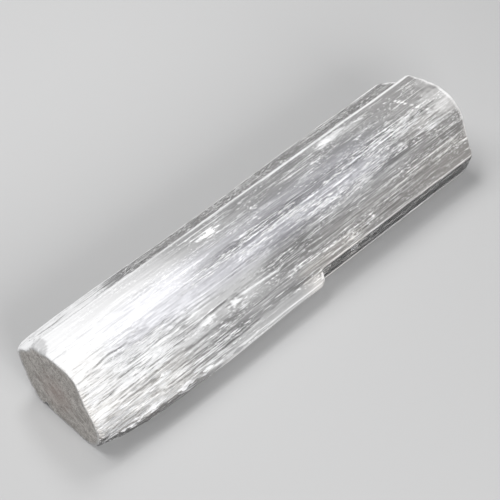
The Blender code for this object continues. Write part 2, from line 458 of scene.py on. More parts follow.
# The two ends: a sawn face, and a break of small steps. The swells' sizes are y and z in mm.
endFaces = {
    "sawRipple": 0.05,          # mm
    "sawSize": (1.7, 1.1),
    "blockSize": (5.0, 3.4),
    "chipSize": (2.6, 1.9),
    "chipShare": 0.4,
    "steps": 2.2,               # how many steps the blocks are cut into, and how sharply
    "stepShare": 0.25,
    "rimRings": 7,              # the steps grow over this many rings from the rim
    "rimDepth": 0.15,           # half the height of the steps at the rim, and what is added inside it, mm
    "innerDepth": 1.2,
    "sink": 0.05,               # mm
}


# Swells on an end; z counts the columns of their table, from the one given
def capSwells(cap, size, seed, firstColumn=30):
    return swells(cap[..., 1] / size[0], cap[..., 2] / size[1] + firstColumn, seed)


nearCap = capRings(carved[0], starts[0], -1, skin["nearRings"])
farCap = capRings(carved[-1], starts[1], 1, skin["farRings"])
sawRipple = endFaces["sawRipple"]
nearCap[..., 0] += sawRipple + sawRipple * capSwells(nearCap, endFaces["sawSize"], 41)
blocks = capSwells(farCap, endFaces["blockSize"], 42)
blocks += endFaces["chipShare"] * capSwells(farCap, endFaces["chipSize"], 43)
blocks = blocks + endFaces["stepShare"] * np.round(blocks * endFaces["steps"])
inside = smooth(np.arange(1, skin["farRings"] + 1) / endFaces["rimRings"])[:, None]
stepDepth = endFaces["rimDepth"] + endFaces["innerDepth"] * inside
farCap[..., 0] -= endFaces["sink"] + stepDepth * (1 + np.clip(blocks, -1, 1))
rings = np.concatenate([nearCap[::-1], carved, farCap])


# A closed mesh of four-sided faces, with a fan of triangles in the middle of each end
def makeMesh(name, rings):
    around = rings.shape[1]
    inner = rings[1:-1].reshape(-1, 3)
    points = np.concatenate([inner, [rings[0].mean(axis=0), rings[-1].mean(axis=0)]]) * mm
    count = rings.shape[0] - 2
    first, last = len(inner), len(inner) + 1
    faces = []
    for i in range(count - 1):
        for j in range(around):
            k = (j + 1) % around
            faces.append((i * around + j, i * around + k, (i + 1) * around + k, (i + 1) * around + j))
    for j in range(around):
        k = (j + 1) % around
        faces.append((first, k, j))
        faces.append((last, (count - 1) * around + j, (count - 1) * around + k))
    mesh = bpy.data.meshes.new(name)
    mesh.from_pydata(points.tolist(), [], faces)
    mesh.update()
    return mesh


def addObject(name, data):
    thing = bpy.data.objects.new(name, data)
    bpy.context.scene.collection.objects.link(thing)
    return thing


# Values for the points of the sides and of both ends, stored on the mesh; an end may have just one
def store(mesh, name, sideValues, nearValue=0.0, farValue=0.0):
    near = np.broadcast_to(nearValue, nearCap.shape[:2])
    far = np.broadcast_to(farValue, farCap.shape[:2])
    values = np.concatenate([near[::-1], sideValues, far])[1:-1].reshape(-1)
    values = np.concatenate([values, [np.mean(nearValue), np.mean(farValue)]])
    layer = mesh.attributes.new(name, "FLOAT", "POINT")
    layer.data.foreach_set("value", np.clip(values, -1, 1).astype(np.float32))


# Soft milky streaks: route of (x, s), half width, strength
streaks = {
    "bandStart": ([(-48, 71.2), (-36, 72.0), (-27, 71.6), (-16, 72.0)], 2.2, 0.10),
    "bandSoft": ([(-20, 72.4), (-2, 73.6), (7, 74.2), (15, 74.4)], 2.4, 0.12),
    "bandMiddle": ([(11, 73.9), (24, 74.3), (33, 75.8), (44, 75.0)], 2.2, 0.06),
    "bandFar": ([(50, 74.8), (62, 73.8), (72, 73.0), (84, 71.6)], 1.6, 0.06),
    "softSlope": ([(-60, 77.0), (-30, 76.8), (-5, 78.0)], 3.4, 0.25),
    "edgePatch": ([(36, 54.6), (50, 55.4), (64, 56.8)], 2.4, 0.42),
    "edgePatchLow": ([(48, 58.0), (55, 59.0)], 0.8, 0.45),
    "dashB": ([(13, 67.3), (23, 67.9)], 0.8, 0.45),
    "dashC": ([(22, 64.2), (31, 64.4)], 0.7, 0.40),
    "dashD": ([(18, 69.3), (28, 69.7)], 0.8, 0.40),
}

# Thin bright lines, mostly the edges between faces, pale where worn and with a painted highlight along them:
# route of (x, s), half width, strength
edgeLines = {
    "topLeft": ([(-66, 51.7), (0, 51.6), (101, 51.5)], 0.50, 0.95),
    "topLeftFar": ([(14, 51.9), (101, 51.8)], 0.72, 0.9),
    "topLeftNear": ([(-74, 52.2), (-58, 51.8)], 0.45, 0.5),
    "ledgeOuter": ([(-101, 36.6), (94, 36.8)], 0.55, 0.9),
    "rightEdge": ([(10, 98.6), (60, 98.6), (101, 98.4)], 0.42, 0.55),
    "rightLow": ([(12, 106.6), (60, 106.4), (98, 105.4)], 0.40, 0.6),
    "bladeOuter": ([(-55, 103.1), (11, 103.2)], 0.45, 0.50),
    "nearLow": ([(-96, 107.2), (-70, 106.8), (-45, 106.4)], 0.35, 0.8),
    "nearLowShard": ([(-84, 102.6), (-72, 102.2), (-56, 102.4)], 0.50, 0.9),
    "bandUpper": ([(40, 70.8), (58, 70.4), (72, 69.4), (84, 68.2)], 0.30, 0.6),
    "bandUpperNext": ([(52, 71.9), (66, 71.3), (78, 70.2)], 0.30, 0.6),
    "slopeLine": ([(-29, 87.2), (-17, 87.6), (-6, 88.4)], 0.45, 1.0),
    "topLineNear": ([(-72, 58.5), (-40, 58.3)], 0.30, 0.25),
    "topLine": ([(-60, 66.2), (-30, 66.0)], 0.30, 0.35),
}

specks = {   # name: (x, s), half length, half width, strength
    "bigChip": ((-19.8, 58.4), 3.2, 0.8, 0.95),
    "slopeChip": ((-57.7, 81.0), 3.4, 1.4, 0.95),
    "lowChip": ((-28.6, 88.0), 2.2, 1.3, 1.0),
    "crumbs": ((-42.6, 87.7), 3.6, 1.4, 0.8),
    "dotFar": ((56.1, 63.4), 0.6, 0.45, 0.9),
    "loop": ((67.2, 76.5), 1.0, 0.5, 0.5),
    "veeMark": ((70.4, 66.1), 1.0, 0.35, 0.5),
    "dashNear": ((-11.5, 68.6), 1.8, 0.4, 0.6),
    "topSpotA": ((2.0, 61.0), 1.0, 0.4, 0.5),
    "topSpotB": ((35.0, 60.5), 1.3, 0.4, 0.45),
    "edgeCrumbs": ((46.0, 55.2), 3.0, 0.9, 0.45),
    "edgeCrumbsFar": ((66.0, 56.0), 1.8, 0.7, 0.4),
    "lowFlake": ((-62.0, 98.5), 3.0, 0.9, 0.8),
    "lowFlakeNext": ((-74.0, 99.5), 3.5, 1.0, 0.8),
    "wallFlake": ((30.0, 96.0), 1.4, 0.5, 0.55),
    "wallFlakeFar": ((42.6, 94.0), 0.7, 0.5, 0.9),
    "bladeEnd": ((10.6, 101.4), 0.5, 2.2, 0.8),
    "ledgeEnd": ((95.2, 40.0), 0.6, 3.0, 0.9),
}

# Round these specks lies a painted shadow, longer and wider than they are by so many mm
chipShadows = {"specks": ("slopeChip", "lowChip"), "longer": 2.2, "wider": 1.1, "strength": 0.8}

dots = {   # a row of tiny dots across the far top, each fainter than the one before
    "route": [(82.6, 59.3), (83.7, 63.4), (87.0, 70.5), (88.5, 72.4)],
    "count": 10,
    "halfLength": 0.55,
    "halfWidth": 0.40,
    "strength": 0.9,
    "fainter": 0.15,   # for each point of the route
}

hazes = {   # soft milky patches: (x, s), half length, half width, strength
    "frost": ((94.0, 69.5), 7.5, 5.2, 0.26),
    "frostMiddle": ((97.0, 70.5), 3.6, 2.8, 0.30),
    "frostNear": ((90.0, 68.5), 4.0, 1.6, 0.22),
    "farCorner": ((98.0, 60.0), 4.0, 4.0, 0.15),
    "edgeHaze": ((50.0, 55.0), 7.0, 1.8, 0.35),
}

# Broad milkiness and clearness: x from and to, s from and to, share, and the length of its fade
milkZones = {
    # The near-end zones are milky fibres with the satin sheen of the near end painted on them
    "nearTop": ((-120, -50), (50, 76), 0.42, 40),
    "nearSlope": ((-120, -50), (76, 98.5), 0.46, 44),
    "nearFoot": ((-120, -52), (103.8, 112), -0.30, 20),
    "nearCorner": ((-120, -92), (97, 108), -0.25, 10),
    "blade": ((-36, 14), (99, 105), 0.12, 14),
    # Painted shade on the right wall, the side that faces away from the lamps
    "rightWall": ((10, 120), (99.6, 106), -0.20, 6),
    "farSlopeLow": ((10, 110), (91, 98.2), -0.08, 10),
    "farSlope": ((-16, 120), (83, 99), -0.12, 22),
    "farSlopeEnd": ((58, 120), (78, 99), -0.12, 24),
    "slopeMiddle": ((-14, 14), (79, 90), -0.12, 14),
    "lowSlope": ((-84, -26), (90, 99), -0.26, 26),
    # Painted sheen carried on along the top where it fades out
    "topSheenFade": ((-52, -4), (53, 69), 0.09, 20),
    "topMiddle": ((-10, 66), (54, 70), -0.03, 30),
    "middleSlope": ((-44, -10), (77, 91), 0.16, 20),
    "bandMiddle": ((-34, 78), (68, 80), -0.22, 24),
    # Painted sheen over the near end, and over its ledge
    "nearEndSheen": ((-120, -78), (34, 92), 0.15, 30),
    "nearLedge": ((-120, -62), (34, 50), 0.70, 30),
    "farTop": ((60, 120), (50, 70), 0.02, 20),
    "ledgeEnd": ((80, 120), (34, 50), 0.15, 14),
}
glassZones = {
    "farTop": ((-35, 120), (52, 72), 0.42, 40),
    "farSlope": ((-5, 120), (78, 99), 0.26, 40),
    "ledge": ((-62, 120), (35, 50), 0.60, 30),
    "rightWall": ((10, 120), (99.2, 106.5), 0.95, 4),
    "blade": ((-40, 11), (96, 105), 0.24, 24),
    "nearUnder": ((-120, -60), (103, 112), 0.45, 20),
    "under": ((-50, 120), (12, 34), 0.5, 90),
}

# Smooth stretches, with less fray: x from and to, s from and to, and a share
calmZones = {
    "farTop": ((40, 104), (53, 67), 0.36),
    "middleTop": ((-70, 30), (53, 66), 0.14),
    "middleSlope": ((-58, -6), (80, 97), 0.16),
    "farSlope": ((20, 104), (80, 92), 0.10),
}
# Warmer stretches, and a cooler one: the same, and the lengths of its fades along x and s
creamZones = {
    "sawnEnd": ((-120, -86), (66, 92), 0.5, 14, 6),
    "nearFoot": ((-120, -55), (90, 104), 0.5, 20, 6),
    "farSlope": ((10, 120), (86, 100), 0.4, 40, 8),
    "farEnd": ((66, 120), (50, 100), 0.35, 40, 2.5),
    "ledge": ((-40, 120), (34, 50), 0.4, 40, 2.5),
    "bladeEnd": ((2, 34), (94, 108), 0.9, 12, 3),
    "band": ((-80, 60), (62, 80), -0.8, 40, 8),
}

rims = {
    "farReach": ([30, 48, 74, 80], [0.8, 2.0, 1.9, 1.15]),   # each s, and how wide the pale far rim is, mm
    "farShare": ([30, 44, 98, 106], [0.1, 1.0, 1.0, 0.1]),   # each s, and how pale it is
    "farMilk": 1.2,
    "nearReach": 2.2,        # the greyer, warmer rim of the sawn end, mm
    "nearZone": ((-120, 0), (80, 104)),
    "nearMilk": -0.25,
}
sideTones = {
    "milk": 0.26,            # milkiness and clearness away from the zones
    "glass": 0.12,
    "facetDarker": 0.30,
    "scalesDarker": 0.22,
    "crestHeight": 0.16,     # a crest that stands this proud is at its palest, with the full painted highlight, mm
}
breakTones = {
    "milk": 0.62,            # the broken end's own milkiness, and how far it sways
    "sway": 0.16,
    "swaySize": (4.5, 3.6),
    "steps": 0.10,           # how much paler its higher steps are
    "rim": (0.6, 0.35),      # the milkiness of its rim, and how much its pale rim adds
    "glass": 0.25,
    "cream": 0.2,
    "fray": 0.2,
}
sawnMilk = 0.35
sawnRim = 0.25               # how much of the sawn face's look its rim has

wornEdgeAndHighlightMask = routeMask(edgeLines, fadeX=6.0, wander=0.12) * (0.68 + 0.32 * sideSwells(7.0, 9.0, 52))
speckMask = np.zeros_like(sideX)
for number, (place, *halves, strength) in enumerate(specks.values()):
    speckMask = np.maximum(speckMask, strength * inBruise(place, *halves, seed=100 + 2 * number))
dotX, dotS = np.array(dots["route"]).T
for step in np.linspace(0, len(dotX) - 1, dots["count"]):
    alongX = (sideX - np.interp(step, range(len(dotX)), dotX)) / dots["halfLength"]
    acrossS = (sideS - np.interp(step, range(len(dotS)), dotS)) / dots["halfWidth"]
    dot = smooth((1.5 - np.hypot(alongX, acrossS)) * 1.4)
    speckMask = np.maximum(speckMask, (dots["strength"] - dots["fainter"] * step) * dot)
hazeMask = np.zeros_like(sideX)
for place, *halves, strength in hazes.values():
    hazeMask = np.maximum(hazeMask, strength * inPatch(place, *halves, seed=61))
chipShadowMask = np.zeros_like(sideX)
for name in chipShadows["specks"]:
    place, halfLength, halfWidth, strength = specks[name]
    hollow = inPatch(place, halfLength + chipShadows["longer"], halfWidth + chipShadows["wider"])
    chipShadowMask = np.maximum(chipShadowMask, chipShadows["strength"] * hollow * (1 - speckMask))

# The far rim: a pale frosted edge with a painted rim highlight on it, on the sides and round the broken end
farReach = np.interp(sideS, *rims["farReach"]) * (1 + 0.35 * sideSwells(9.0, 2.2, 53))
farRimShare = np.interp(outline, *rims["farShare"]) * (0.75 + 0.25 * sideSwells(9.0, 3.0, 54)[-1])
farRimFrostAndHighlight = smooth(1.2 - farAway / farReach) * farRimShare
nearRim = smooth(1.2 - nearAway / rims["nearReach"]) * inZone(*rims["nearZone"], fadeS=8)

# What the material reads: milkiness, with painted sheen, painted highlights and painted shade in it,
# clearness, rough fibres, crests and warmth
solidWhite = np.maximum(speckMask, wornEdgeAndHighlightMask)
milk = addZones(sideTones["milk"], milkZones, fadeS=3.0) + solidWhite + hazeMask
milk = milk + farRimFrostAndHighlight * rims["farMilk"] + nearRim * rims["nearMilk"]
milk = milk - facet * sideTones["facetDarker"] - scaly * sideTones["scalesDarker"]
glass = addZones(sideTones["glass"], glassZones, fadeS=1.6) * (1 - solidWhite) * (1 - farRimFrostAndHighlight)
fray = np.clip(rough * 1.1 + scaly * 0.5, 0, 1) - addZones(0.0, calmZones)
# The material paints a highlight on the crests and shade in the grooves from this
crest = proud / sideTones["crestHeight"]
cream = addZones(0.0, creamZones) + nearRim
farMilk = breakTones["milk"] + breakTones["sway"] * capSwells(farCap, breakTones["swaySize"], 44)
farMilk += breakTones["steps"] * blocks
farMilk[0] = breakTones["rim"][0] + breakTones["rim"][1] * farRimShare
sawn = np.ones(nearCap.shape[:2])
sawn[0] = sawnRim

logMesh = makeMesh("crystalSkin", rings)
store(logMesh, "milk", np.clip(milk, 0, 1), sawnMilk, farMilk)
store(logMesh, "glass", np.clip(glass, 0, 1), 0.0, breakTones["glass"])
store(logMesh, "streak", routeMask(streaks, fadeX=9.0))
store(logMesh, "bright", brightMask)
# Painted shade: in the gaps between fibres, along the cracks and round two chips
store(logMesh, "paintedShade", np.maximum(np.maximum(darkMask, crackShadeMask), chipShadowMask))
store(logMesh, "crest", crest)
store(logMesh, "cream", cream, 0.0, breakTones["cream"])
store(logMesh, "fray", fray, 0.0, breakTones["fray"])
store(logMesh, "sawn", np.zeros_like(sideX), sawn, 0.0)
crystal = addObject("crystalSkin", logMesh)
logMesh.shade_smooth()
print("skin made:", len(logMesh.vertices), "points")


# A shader value that can stand in sums, such as 1 - mask * 0.5
class Wire:
    def __init__(self, bench, socket):
        self.bench = bench
        self.socket = socket

    def __add__(self, other):
        return self.bench.maths("ADD", self, other)

    def __radd__(self, other):
        return self.bench.maths("ADD", other, self)

    def __sub__(self, other):
        return self.bench.maths("SUBTRACT", self, other)

    def __rsub__(self, other):
        return self.bench.maths("SUBTRACT", other, self)

    def __mul__(self, other):
        return self.bench.maths("MULTIPLY", self, other)

    def __rmul__(self, other):
        return self.bench.maths("MULTIPLY", other, self)

    def clamp(self):
        return self.bench.maths("ADD", self, 0.0, clamped=True)


# A node tree, and the ways of adding to it
class NodeBench:
    def __init__(self, tree):
        self.tree = tree

    def add(self, kind, settings, values):
        node = self.tree.nodes.new(kind)
        for key, setting in settings.items():
            setattr(node, key, setting)
        for key, value in values.items():
            if isinstance(value, Wire):
                self.tree.links.new(value.socket, node.inputs[key])
            else:
                node.inputs[key].default_value = value
        return node

    def out(self, kind, settings, values, output=0):
        return Wire(self, self.add(kind, settings, values).outputs[output])

    def maths(self, operation, first, second, clamped=False):
        settings = {"operation": operation, "use_clamp": clamped}
        return self.out("ShaderNodeMath", settings, {0: first, 1: second})


# Noise drawn out along the log: cells for each metre along it and across it, and its detail
grains = {
    "hair": (60, 2700, 2.0),
    "thread": (26, 1300, 3.0),
    "strand": (14, 480, 3.0),
    "cloud": (26, 110, 3.0),
    "grit": (700, 2300, 2.0),
    "busy": (40, 210, 1.0),      # lively stretches and calm ones
    "glint": (900, 2300, 2.0),
    "sawDust": (1700, 1700, 3.0),
    "sawBlotch": (330, 330, 2.0),
    "sawPore": (480, 480, 2.0),
    "sealed": (120, 900, 3.0),
}


# A material's node tree
class Bench(NodeBench):
    def __init__(self, name):
        self.material = bpy.data.materials.new(name)
        self.material.use_nodes = True
        super().__init__(self.material.node_tree)
        self.tree.nodes.clear()

    def layer(self, name):
        return self.out("ShaderNodeAttribute", {"attribute_name": name}, {}, "Fac")

    def place(self):
        return self.out("ShaderNodeTexCoord", {}, {}, "Object")

    # The dot product of two vectors, or the distance between them
    def measure(self, operation, first, second):
        return self.out("ShaderNodeVectorMath", {"operation": operation}, {0: first, 1: second}, "Value")

    def noise(self, vector, detail):
        return self.out("ShaderNodeTexNoise", {}, {"Vector": vector, "Scale": 1.0, "Detail": detail})

    def grain(self, name):
        along, across, detail = grains[name]
        scaled = {"Vector": self.place(), "Scale": (along, across, across)}
        return self.noise(self.out("ShaderNodeMapping", {}, scaled), detail)

    # 0 up to low, 1 from high on, and a smooth rise between; a low above the high turns it round
    def ramp(self, value, low, high):
        limits = {"Value": value, "From Min": low, "From Max": high}
        return self.out("ShaderNodeMapRange", {"interpolation_type": "SMOOTHSTEP"}, limits)

    # Two colours mixed; a Mix node's colour sockets are its seventh and eighth inputs and its third output
    def blend(self, share, first, second):
        return self.out("ShaderNodeMix", {"data_type": "RGBA"}, {0: share, 6: first, 7: second}, 2)

    def finish(self, surface, volume=None):
        values = {"Surface": surface}
        if volume:
            values["Volume"] = volume
        self.add("ShaderNodeOutputMaterial", {}, values)
        return self.material


gypsum = {
    "grey": (0.22, 0.217, 0.217, 1),      # between the fibres
    "white": (0.96, 0.96, 0.965, 1),      # the fibres
    "creamTint": (0.93, 0.87, 0.80, 1),
    "coolTint": (0.87, 0.87, 0.98, 1),
    "sawnGrey": (0.27, 0.25, 0.232, 1),
    "sawnPale": (0.58, 0.555, 0.525, 1),
    "sawnBlush": (0.36, 0.28, 0.25, 1),
    "pore": (0.12, 0.11, 0.10, 1),
    "blushPlace": (-0.101, 0.002, 0.0135),
    "blushReach": (0.0165, 0.004),        # the blush starts and is full this far from its place, m
    "sawAcross": (0.0, -0.51, 0.86),      # across the saw's marks
    "sawAlong": (0.0, 0.86, 0.51),
    "sawMarks": (1900, 150),              # cells for each metre across the marks and along them
    "roughness": 0.34,
    "sawnRougher": 0.35,
    "frayRougher": 0.08,
    "glow": 0.24,                         # light that spreads under the surface, and how far, m
    "glowReach": 0.0009,
    "bump": 0.7,
    "bumpDepth": 0.00022,                 # m
    "ior": 1.52,
    "clearTint": (0.98, 0.98, 0.98, 1),
    "clearRoughness": 0.12,
    "absorb": (0.6, 0.6, 0.6, 1),
    "absorbDensity": 8.0,
}


# The sawn face's colour, and the height of its marks
def sawnColour(bench):
    place = bench.place()
    acrossScale, alongScale = gypsum["sawMarks"]
    across = bench.measure("DOT_PRODUCT", place, gypsum["sawAcross"]) * acrossScale
    along = bench.measure("DOT_PRODUCT", place, gypsum["sawAlong"]) * alongScale
    marks = bench.noise(bench.out("ShaderNodeCombineXYZ", {}, {"X": across, "Y": along}), 3.0)
    dust, blotch = bench.grain("sawDust"), bench.grain("sawBlotch")
    tone = bench.ramp(marks * 0.8 + dust * 1.05 + blotch * 0.5, 0.98, 1.40)
    colour = bench.blend(tone, gypsum["sawnGrey"], gypsum["sawnPale"])
    away = bench.measure("DISTANCE", place, gypsum["blushPlace"])
    blush = bench.ramp(away + blotch * 0.008, *gypsum["blushReach"])
    colour = bench.blend(blush * 0.5, colour, gypsum["sawnBlush"])
    pores = bench.ramp(bench.grain("sawPore"), 0.66, 0.74)
    return bench.blend(pores * 0.6, colour, gypsum["pore"]), marks + dust * 0.5


def gypsumMaterial():
    bench = Bench("satinGypsum")
    milk, glass, streak = bench.layer("milk"), bench.layer("glass"), bench.layer("streak")
    bright, paintedShade, crest = bench.layer("bright"), bench.layer("paintedShade"), bench.layer("crest")
    cream, sawn, fray = bench.layer("cream"), bench.layer("sawn"), bench.layer("fray")
    hair, thread, strand = bench.grain("hair") - 0.5, bench.grain("thread") - 0.5, bench.grain("strand") - 0.5
    cloud, grit = bench.grain("cloud") - 0.5, bench.grain("grit") - 0.5
    busy = bench.ramp(bench.grain("busy"), 0.42, 0.58)
    fine = hair * 0.8 + thread + grit * 0.5
    tatter = fine * 1.1 + strand * 0.4 + cloud * 0.4
    flecks = bench.ramp(tatter, 0.15, 0.22)
    gapShade = bench.ramp(tatter * -1, 0.17, 0.25)
    torn = bench.ramp(fine, -0.16, 0.14)
    # Painted glints: tiny white sparks scattered over the fibres
    paintedGlints = bench.ramp(bench.grain("glint") + fine * 0.10 + busy * 0.04, 0.61, 0.69)
    crestHighlight = bench.ramp(crest, 0.12, 0.8)
    grooveShade = bench.ramp(crest * -1, 0.15, 0.9)

    # How white each place is: its milkiness and its fibres, then the streaks and strokes, a painted highlight
    # on the crests, the flecks and painted glints, less painted shade in the gaps between fibres and in the
    # grooves, and less again under the painted shade of the dark strokes, the cracks and round two chips
    lively = (0.32 + fray * 0.70) * (0.6 + busy * 0.6)
    white = milk + (fine * 0.70 + strand * 0.25 + cloud * 0.25) * lively
    white = white + streak * (0.55 + fine * 1.4) + bright * (0.12 + torn * 0.50) + crestHighlight * 0.18
    white = white + flecks * (0.10 + busy * 0.42 + fray * 0.26) + paintedGlints * (0.08 + busy * 0.36)
    white = white - gapShade * fray * 0.36 - grooveShade * 0.12
    white = (white.clamp() * (1 - paintedShade * (1 - torn * 0.4))).clamp()
    colour = bench.blend(white, gypsum["grey"], gypsum["white"])
    colour = bench.blend((cream * 0.30).clamp(), colour, gypsum["creamTint"])
    colour = bench.blend((cream * -0.30).clamp(), colour, gypsum["coolTint"])
    sawColour, sawHeight = sawnColour(bench)
    colour = bench.blend(sawn, colour, sawColour)

    height = (fine * 1.2 + strand * 0.2) * (0.22 + fray * 1.1) + sawHeight * 0.4 * sawn
    bumpValues = {"Strength": gypsum["bump"], "Distance": gypsum["bumpDepth"], "Height": height}
    bump = bench.out("ShaderNodeBump", {}, bumpValues)
    roughness = gypsum["roughness"] + sawn * gypsum["sawnRougher"] + fray * gypsum["frayRougher"]
    fibreValues = {
        "Base Color": colour,
        "Roughness": roughness.clamp(),
        "IOR": gypsum["ior"],
        "Subsurface Weight": gypsum["glow"],
        "Subsurface Radius": (1.0, 1.0, 1.0),
        "Subsurface Scale": gypsum["glowReach"],
        "Normal": bump,
    }
    clearValues = {
        "Base Color": gypsum["clearTint"],
        "Roughness": gypsum["clearRoughness"],
        "IOR": gypsum["ior"],
        "Transmission Weight": 1.0,
        "Normal": bump,
    }
    fibre = bench.out("ShaderNodeBsdfPrincipled", {}, fibreValues)
    glassy = bench.out("ShaderNodeBsdfPrincipled", {}, clearValues)
    clear = (glass * 1.1 - white * 0.6 + strand * 0.5).clamp() * (1 - sawn)
    surface = bench.out("ShaderNodeMixShader", {}, {0: clear, 1: fibre, 2: glassy})
    absorb = {"Color": gypsum["absorb"], "Density": gypsum["absorbDensity"]}
    return bench.finish(surface, bench.out("ShaderNodeVolumeAbsorption", {}, absorb))


logMesh.materials.append(gypsumMaterial())


# Spindles laid along the grain. Hair-thin fibres and milky veils are sealed a little way under the clear
# faces; splinters, band fibres, needles, crumbs and shards lie loose on the surface. Sizes are in mm, stray
# is in radians, the density is for each square metre, and clump is how much they gather. A zone is x from
# and to, s from and to, a share of the density, and how pale its spindles are.
clearZones = [
    ((-60, 84), (53, 78), 0.8, 0.9),
    ((-60, 84), (78, 97), 0.55, 0.9),
    ((-70, 66), (38, 44), 0.8, 0.9),
]
spindleSets = {
    "sealedFibres": {
        "look": "sealed",
        "density": 600000, "seed": 3, "sides": 4, "rings": 2, "stray": 0.035, "clump": 0.3,
        "under": (0.35, 4.5), "long": (2.5, 15.0), "wide": (0.12, 0.34), "thick": (0.08, 0.16),
        "zones": clearZones,
    },
    "sealedVeils": {
        "look": "sealed",
        "density": 90000, "seed": 4, "sides": 8, "rings": 4, "stray": 0.035, "clump": 0.3,
        "under": (1.0, 6.5), "long": (4.0, 20.0), "wide": (0.8, 3.2), "thick": (0.05, 0.10),
        "zones": clearZones,
    },
    "splinters": {
        "look": "loose",
        "density": 2200000, "seed": 6, "sides": 4, "rings": 2, "stray": 0.028, "clump": 0.6,
        "under": (-0.06, 0.12), "long": (2.0, 14.0), "wide": (0.20, 0.58), "thick": (0.12, 0.32),
        "zones": [((-120, -54), (77, 90), 0.40, 0.95), ((-120, -80), (88, 95), 0.38, 0.92),
                  ((-80, -44), (89, 98), 0.14, 0.50), ((-120, -64), (94, 103), 0.22, 0.50),
                  ((-64, -30), (96, 103), 0.26, 0.70), ((-45, -20), (78, 99), 0.04, 0.8),
                  ((-25, 12), (78, 99), 0.04, 0.7), ((8, 120), (82, 98), 0.016, 0.7)],
    },
    "bandFibres": {
        "look": "loose",
        "density": 1700000, "seed": 7, "sides": 4, "rings": 2, "stray": 0.022, "clump": 1.0,
        "under": (-0.03, 0.06), "long": (1.2, 9.0), "wide": (0.20, 0.55), "thick": (0.10, 0.26),
        "zones": [((-46, -8), (69.5, 76.5), 0.35, 0.84), ((-20, 14), (69.5, 79), 0.5, 0.84),
                  ((8, 50), (70, 81.5), 0.42, 0.84), ((40, 92), (67.5, 79.5), 0.36, 0.80),
                  ((42, 62), (52.5, 57), 0.6, 0.8), ((-14, 30), (63, 70), 0.25, 0.6)],
    },
    "needles": {
        "look": "loose",
        "density": 110000, "seed": 8, "sides": 4, "rings": 2, "stray": 0.02, "clump": 0.5,
        "under": (-0.02, 0.03), "long": (3.0, 22.0), "wide": (0.12, 0.24), "thick": (0.04, 0.10),
        "zones": [((-60, 120), (53, 74), 1.0, 0.72), ((-30, 120), (78, 98), 0.8, 0.72),
                  ((-120, -50), (52, 76), 0.5, 1.0)],
    },
    "crumbs": {
        "look": "loose",
        "density": 700000, "seed": 9, "sides": 4, "rings": 2, "stray": 0.22, "clump": 1.0,
        "under": (-0.04, 0.08), "long": (0.5, 3.0), "wide": (0.20, 0.60), "thick": (0.10, 0.30),
        "zones": [((-95, -40), (36, 50), 0.8, 1.0), ((-50, 92), (36, 50), 0.8, 0.9),
                  ((-50, -20), (85, 91.5), 0.35, 0.95), ((-92, -62), (73.5, 80), 1.0, 1.0),
                  ((0, 98), (92, 98.5), 0.45, 0.75), ((-20, 98), (78, 92), 0.10, 0.95),
                  ((-110, 110), (12, 34), 0.4, 0.7), ((-40, 98), (54, 72), 0.12, 0.95)],
    },
    "shards": {
        "look": "loose",
        "density": 700000, "seed": 10, "sides": 4, "rings": 2, "stray": 0.09, "clump": 0.9,
        "under": (-0.15, 0.25), "long": (3.0, 13.0), "wide": (0.60, 1.60), "thick": (0.35, 0.85),
        "zones": [((-94, -42), (100.5, 103.6), 0.8, 1.0), ((-120, -60), (83, 97), 0.12, 0.95)],
    },
}


spindleRanges = ("under", "long", "wide", "thick")
spindleBuild = {
    "roll": 0.5,          # how far each one may roll about its own length, radians
    "rimShare": 1.8,      # no longer than this many times its distance from the nearer rim
    "keepOff": 0.8,       # none starts closer to a rim than this, mm
    "lengthSeed": 77,
    "toneSeed": 78,
}


